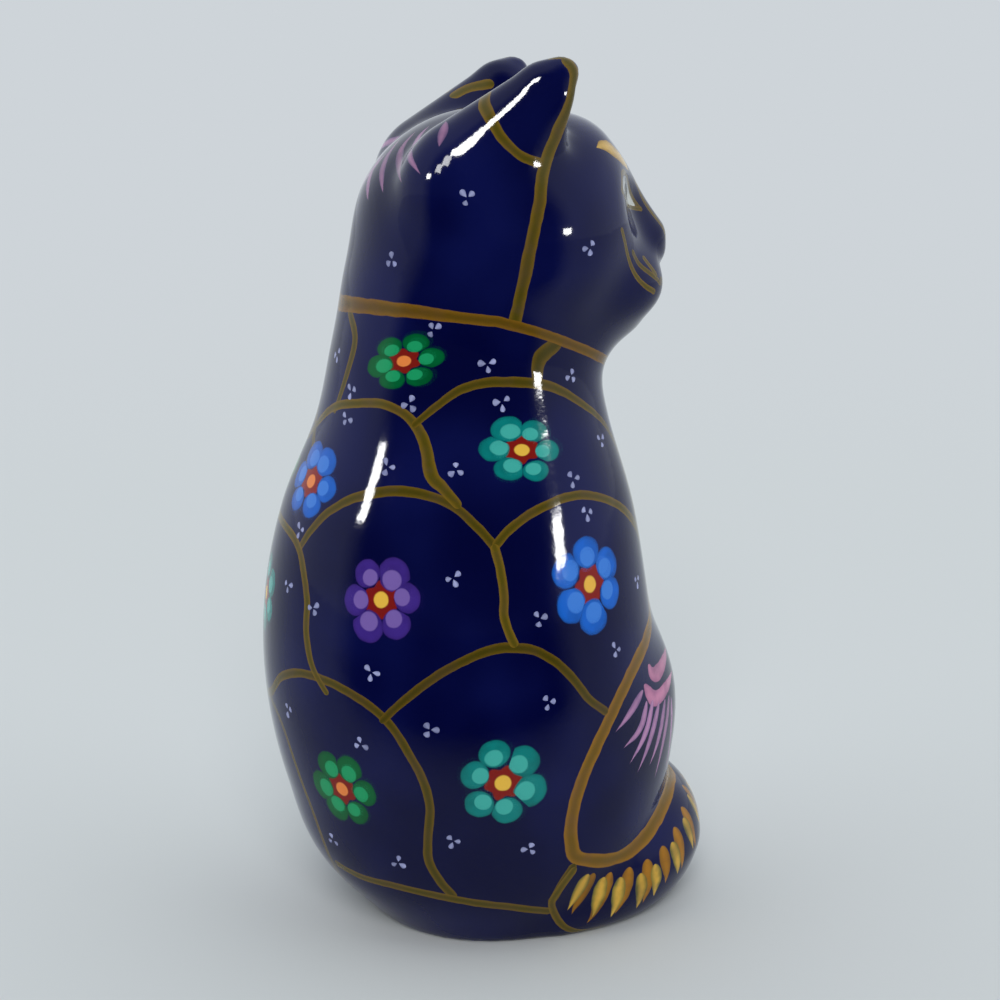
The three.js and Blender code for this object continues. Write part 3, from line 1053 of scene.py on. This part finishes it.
# A group that lays one layer of paint over the colour under it
def layer_group(name):
    tree = bpy.data.node_groups.new(name, "ShaderNodeTree")
    for label, kind in LAYER_INPUTS.items():
        tree.interface.new_socket(name=label, in_out="INPUT", socket_type=kind)
    tree.interface.new_socket(name="Colour", in_out="OUTPUT", socket_type="NodeSocketColor")
    nodes = Nodes(tree)
    given = tree.nodes.new("NodeGroupInput").outputs
    return nodes, [Value(nodes, given[label]) for label in LAYER_INPUTS]


def end_group(nodes, colour):
    nodes.feed(nodes.tree.nodes.new("NodeGroupOutput").inputs[0], colour)
    return nodes.tree


STROKE_SOFTNESS = 0.1
WAVER_REACH = 0.3
PAINT_WEAR = 0.22
EDGE_BAND = (0.1, 1.1)
EDGE_STREAK = 0.35
LEAST_HALF_WIDTH = 0.05
DARKEST_TONE = 0.8
TONE_RANGE = 0.4


def split_code(nodes, code):
    number = nodes.math("FLOOR", code)
    return number, (code - number) / TONE_SHARE


def stroke_group():
    nodes, (under, place, waver, streak) = layer_group("brush_stroke")
    across, along, code = nodes.split(place)
    number, tone = split_code(nodes, code)
    cores = nodes.ramp(number, [linear(paint.core) for paint in PAINTS.values()])
    edges = nodes.ramp(number, [linear(paint.edge) for paint in PAINTS.values()])
    shapes = [OUTLINES[paint.outline] for paint in PAINTS.values()]
    outline = nodes.ramp(number, [(first, second, full / FULLEST, 1) for first, second, full in shapes])
    first, second, full = nodes.split(outline)
    rounded = nodes.math("MAXIMUM", 1.0 - along * along, 0.0)
    pointed = nodes.math("MAXIMUM", 0.5 - along * 0.5, 0.0)
    half = nodes.math("POWER", rounded, first) * nodes.math("POWER", pointed, second) * full * FULLEST
    shifted = nodes.math("ABSOLUTE", waver * WAVER_REACH + across)
    cover = nodes.inside(half, shifted, STROKE_SOFTNESS) * (1.0 - streak * PAINT_WEAR)
    edge = nodes.smooth(shifted / nodes.math("MAXIMUM", half, LEAST_HALF_WIDTH), *EDGE_BAND)
    edge = nodes.math("ADD", edge, streak * EDGE_STREAK, clamp=True)
    colour = nodes.shaded(nodes.mix(edge, cores, edges), tone * TONE_RANGE + DARKEST_TONE)
    return end_group(nodes, nodes.mix(cover, under, colour))


# A flower's parts, as shares of its radius
PETALS = 6
PETAL_MIDDLE = 0.66
PETAL_HALF = (0.34, 0.37)
DAB_MIDDLE = 0.56
DAB_HALF = (0.21, 0.22)
HEART_RADIUS = 0.38
HEART_STAR = 0.05
HEART_WAVER = 0.05
DOT_RADIUS = 0.19
FLOWER_SOFTNESS = 0.03

# How much each petal differs in turn and reach, and all in size, and how the paint is shaded
PETAL_JITTER = (0.14, 0.08)
DAB_JITTER = (0.3, 0.12)
SIZE_JITTER = 0.24
SEED_SPREAD = 97.0
PETAL_WAVER = 0.16
PETAL_STREAK = 0.25
RIM_BAND = (0.7, 1.0)
RIM_SHADE = 0.2


def flower_group():
    nodes, (under, place, waver, streak) = layer_group("flower")
    x, y, code = nodes.split(place)
    number, seed = split_code(nodes, code)
    petals, dabs, hearts, dots = [
        nodes.ramp(number, [linear(colours[part]) for colours in PETAL_PAINTS.values()])
        for part in range(4)
    ]
    radius = nodes.hypot(x, y)
    around = nodes.math("ARCTAN2", y, x)
    sector = math.tau / PETALS
    petal = nodes.math("FLOOR", around / sector + 0.5)
    own = around - petal * sector
    wrapped = nodes.math("FLOORED_MODULO", petal, float(PETALS))
    key = nodes.out("ShaderNodeCombineXYZ", {0: wrapped, 1: seed * SEED_SPREAD, 2: number})
    hashed = nodes.out("ShaderNodeTexWhiteNoise", {0: key}, "Color", noise_dimensions="3D")
    chance_a, chance_b, chance_c = [part - 0.5 for part in nodes.split(hashed)]
    size = chance_c * SIZE_JITTER + 1.0

    def oval(middle, half, jitter):
        angle = chance_a * jitter[0] + own
        out = radius * nodes.math("COSINE", angle) - (chance_b * jitter[1] + middle)
        side = radius * nodes.math("SINE", angle)
        gap = nodes.hypot(out / (size * half[0]), side / (size * half[1])) + waver * PETAL_WAVER
        return nodes.inside(1.0, gap, FLOWER_SOFTNESS / half[1]), gap

    star = nodes.math("COSINE", around * float(PETALS)) * -HEART_STAR + HEART_RADIUS
    wavering = waver * HEART_WAVER + radius
    petal_cover, rim = oval(PETAL_MIDDLE, PETAL_HALF, PETAL_JITTER)
    dab_cover, _ = oval(DAB_MIDDLE, DAB_HALF, DAB_JITTER)
    shade = (1.0 - streak * PETAL_STREAK) * (1.0 - nodes.smooth(rim, *RIM_BAND) * RIM_SHADE)
    colour = nodes.mix(nodes.inside(star, wavering, FLOWER_SOFTNESS), under, hearts)
    colour = nodes.mix(petal_cover, colour, nodes.shaded(petals, shade))
    colour = nodes.mix(dab_cover, colour, dabs)
    dot = nodes.inside(DOT_RADIUS, wavering, FLOWER_SOFTNESS)
    return end_group(nodes, nodes.mix(dot, colour, dots))


GLAZE_DARK = (3, 6, 54)
GLAZE_LIGHT = (13, 19, 76)
GLAZE_ROUGHNESS = (0.05, 0.075)
GLAZE_IOR = 1.45
GLAZE_SPECULAR = 0.23
CLOUD_BAND = (0.35, 0.7)
STREAK_BAND = (0.4, 0.75)
SWELL_DEPTH = 0.00007
BRUSHED_DEPTH = 0.000012

# Noises: scale and detail
CLOUD = (38, 2.0)
WAVER = (420, 1.0)
STREAK = (260, 3.0)
SWELL = (70, 1.0)
BRUSHED = (800, 2.0)


def glaze_material(stroke_layers, flower_layers):
    material, nodes = new_material("painted_blue_glaze")
    place = nodes.out("ShaderNodeTexCoord", output="Object")
    waver = nodes.noise(place, *WAVER) - 0.5
    streak = nodes.smooth(nodes.noise(place, *STREAK), *STREAK_BAND)
    cloud = nodes.noise(place, *CLOUD)
    colour = nodes.mix(nodes.smooth(cloud, *CLOUD_BAND), linear(GLAZE_DARK), linear(GLAZE_LIGHT))
    for group, name, count in (
        (stroke_group(), STROKE_LAYER, stroke_layers),
        (flower_group(), FLOWER_LAYER, flower_layers),
    ):
        for number in range(count):
            held = nodes.out("ShaderNodeAttribute", output="Vector", attribute_name=name.format(number))
            inputs = {"Under": colour, "Place": held, "Waver": waver, "Streak": streak}
            colour = nodes.out("ShaderNodeGroup", inputs, node_tree=group)
    low, high = GLAZE_ROUGHNESS
    lacquer = {
        "Base Color": colour,
        "Roughness": cloud * (high - low) + low,
        "IOR": GLAZE_IOR,
        "Specular IOR Level": GLAZE_SPECULAR,
    }
    normal = {}
    for noise, depth in ((SWELL, SWELL_DEPTH), (BRUSHED, BRUSHED_DEPTH)):
        inputs = {"Height": nodes.noise(place, *noise), "Distance": depth, "Strength": 1.0, **normal}
        normal = {"Normal": nodes.out("ShaderNodeBump", inputs)}
    glaze = nodes.out("ShaderNodeBsdfPrincipled", {**lacquer, **normal})
    nodes.add("ShaderNodeOutputMaterial", {0: glaze})
    return material


# The studio: floor, light and camera

BACKDROP = (206, 212, 217)
FLOOR_COLOUR = (214, 217, 217)
FLOOR_REACH = 12.0
FLOOR_SIDES = 96
FLOOR_ROUGHNESS = 0.9
FLOOR_NEARNESS = (0.25, 3.3)
PAINTED_ROOM_SHADE = (10, 11, 16)
ROOM_EDGE = (0.07, 0.16)
SKY_STRENGTH = 1.35
SKY_RISE = 0.15
CAMERA_SIDE_STRENGTH = 0.05
CAMERA_SIDE = (0.35, 0.68)
CAMERA_CLIPS = (0.01, 40)
LAMP_DISTANCE = 3.0
LAMP_AIM = (0, 0, 0.08)
LAMPS = [
    # name, turn and lift from the cat, width and height as it sees them, all in degrees, and radiance
    ("left_window", 199, 19, 6.5, 6, 75),
    ("right_window", 319, 7.2, 7, 4.4, 75),
    ("high_window", 237, 50, 15, 9, 75),
    ("slanting_window_foot", 214, 29, 9, 10, 32),
    ("slanting_window_top", 223, 39, 9, 12, 32),
]
FILL_TURN = 258
FILL_LIFT = 38
FILL_SPREAD = 34
FILL_STRENGTH = 1.35


# The floor fades into the backdrop far out. Seen in the lacquer, the floor on the camera's side is painted
# dark: a painted shade for the dark room there.
def floor_material():
    material, nodes = new_material("pale_floor")
    place = nodes.out("ShaderNodeTexCoord", output="Object")
    reach = nodes.out("ShaderNodeVectorMath", {0: place}, "Value", operation="LENGTH")
    ahead = nodes.dot(place, direction(CAMERA_TURN))
    mirrored = nodes.out("ShaderNodeLightPath", output="Is Glossy Ray")
    # Painted shade: to glossy rays only, the floor on the camera's side takes the room's dark colour
    dark = mirrored * nodes.smooth(ahead / reach, *CAMERA_SIDE) * nodes.smooth(ahead, *ROOM_EDGE)
    near_colour = nodes.mix(dark, linear(FLOOR_COLOUR), linear(PAINTED_ROOM_SHADE))
    far_colour = nodes.mix(dark, linear(BACKDROP), linear(PAINTED_ROOM_SHADE))
    inputs = {"Base Color": near_colour, "Roughness": FLOOR_ROUGHNESS, "Specular IOR Level": 0.0}
    near = nodes.out("ShaderNodeBsdfPrincipled", inputs)
    far = nodes.out("ShaderNodeEmission", {0: far_colour, 1: 1.0})
    nearness = nodes.smooth(nodes.math("DIVIDE", 1.0, reach), *FLOOR_NEARNESS)
    both = nodes.out("ShaderNodeMixShader", {0: nearness, 1: far, 2: near})
    nodes.add("ShaderNodeOutputMaterial", {0: both})
    return material


def make_floor():
    turns = [math.tau * number / FLOOR_SIDES for number in range(FLOOR_SIDES)]
    rim = [(FLOOR_REACH * math.cos(turn), FLOOR_REACH * math.sin(turn), 0) for turn in turns]
    mesh = bpy.data.meshes.new("studio_floor")
    mesh.from_pydata(rim, [], [list(range(FLOOR_SIDES))])
    mesh.materials.append(floor_material())
    floor = new_object(mesh)


def add_lamp(data, turn, lift):
    towards = Vector(direction(turn, lift))
    lamp = new_object(data)
    lamp.location = Vector(LAMP_AIM) + towards * LAMP_DISTANCE
    lamp.rotation_euler = towards.to_track_quat("Z", "Y").to_euler()
    return lamp


# The windows are there to be mirrored in the lacquer, and the fill gives the light on the camera's side
def make_lamps():
    for name, turn, lift, width, height, radiance in LAMPS:
        window = bpy.data.lights.new(name, "AREA")
        window.shape = "RECTANGLE"
        window.size, window.size_y = [
            2 * LAMP_DISTANCE * math.tan(math.radians(side / 2)) for side in (width, height)
        ]
        window.energy = radiance * math.pi * window.size * window.size_y
        add_lamp(window, turn, lift).visible_diffuse = False
    fill = bpy.data.lights.new("fill", "SUN")
    fill.angle = math.radians(FILL_SPREAD)
    fill.energy = FILL_STRENGTH
    add_lamp(fill, FILL_TURN, FILL_LIFT).visible_glossy = False


def make_world():
    world = bpy.data.worlds.new("studio_light")
    world.use_nodes = True
    nodes = Nodes(world.node_tree)
    ray = nodes.out("ShaderNodeLightPath", output="Is Camera Ray")
    seen = nodes.out("ShaderNodeBackground", {0: linear(BACKDROP), 1: 1.0})
    ray_way = nodes.out("ShaderNodeTexCoord", output="Generated")
    to_camera = (*direction(CAMERA_TURN)[:2], SKY_RISE)
    dark = nodes.smooth(nodes.dot(ray_way, to_camera), *CAMERA_SIDE)
    strength = dark * (CAMERA_SIDE_STRENGTH - SKY_STRENGTH) + SKY_STRENGTH
    light = nodes.out("ShaderNodeBackground", {0: linear(BACKDROP), 1: strength})
    both = nodes.out("ShaderNodeMixShader", {0: ray, 1: light, 2: seen})
    nodes.add("ShaderNodeOutputWorld", {0: both})
    bpy.context.scene.world = world


def make_camera(middle):
    data = bpy.data.cameras.new("photo_camera")
    data.sensor_width = SENSOR_WIDTH
    data.lens = FOCAL_LENGTH / PICTURE * SENSOR_WIDTH
    data.clip_start, data.clip_end = CAMERA_CLIPS
    camera = new_object(data)
    camera.location = (Vector(CAMERA_AT) - Vector(middle)) * MM
    camera.rotation_euler = Euler((math.radians(90 + CAMERA_PITCH), 0, math.radians(CAMERA_TURN)))
    bpy.context.scene.camera = camera


def main():
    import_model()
    mesh, middle, stroke_layers, flower_layers = cat_mesh()
    mesh.materials.append(glaze_material(stroke_layers, flower_layers))
    cat = new_object(mesh)
    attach(cat, "root")
    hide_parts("cat")
    make_floor()
    make_camera(middle)
    make_lamps()
    make_world()
    bpy.context.scene.view_settings.view_transform = "Standard"


main()
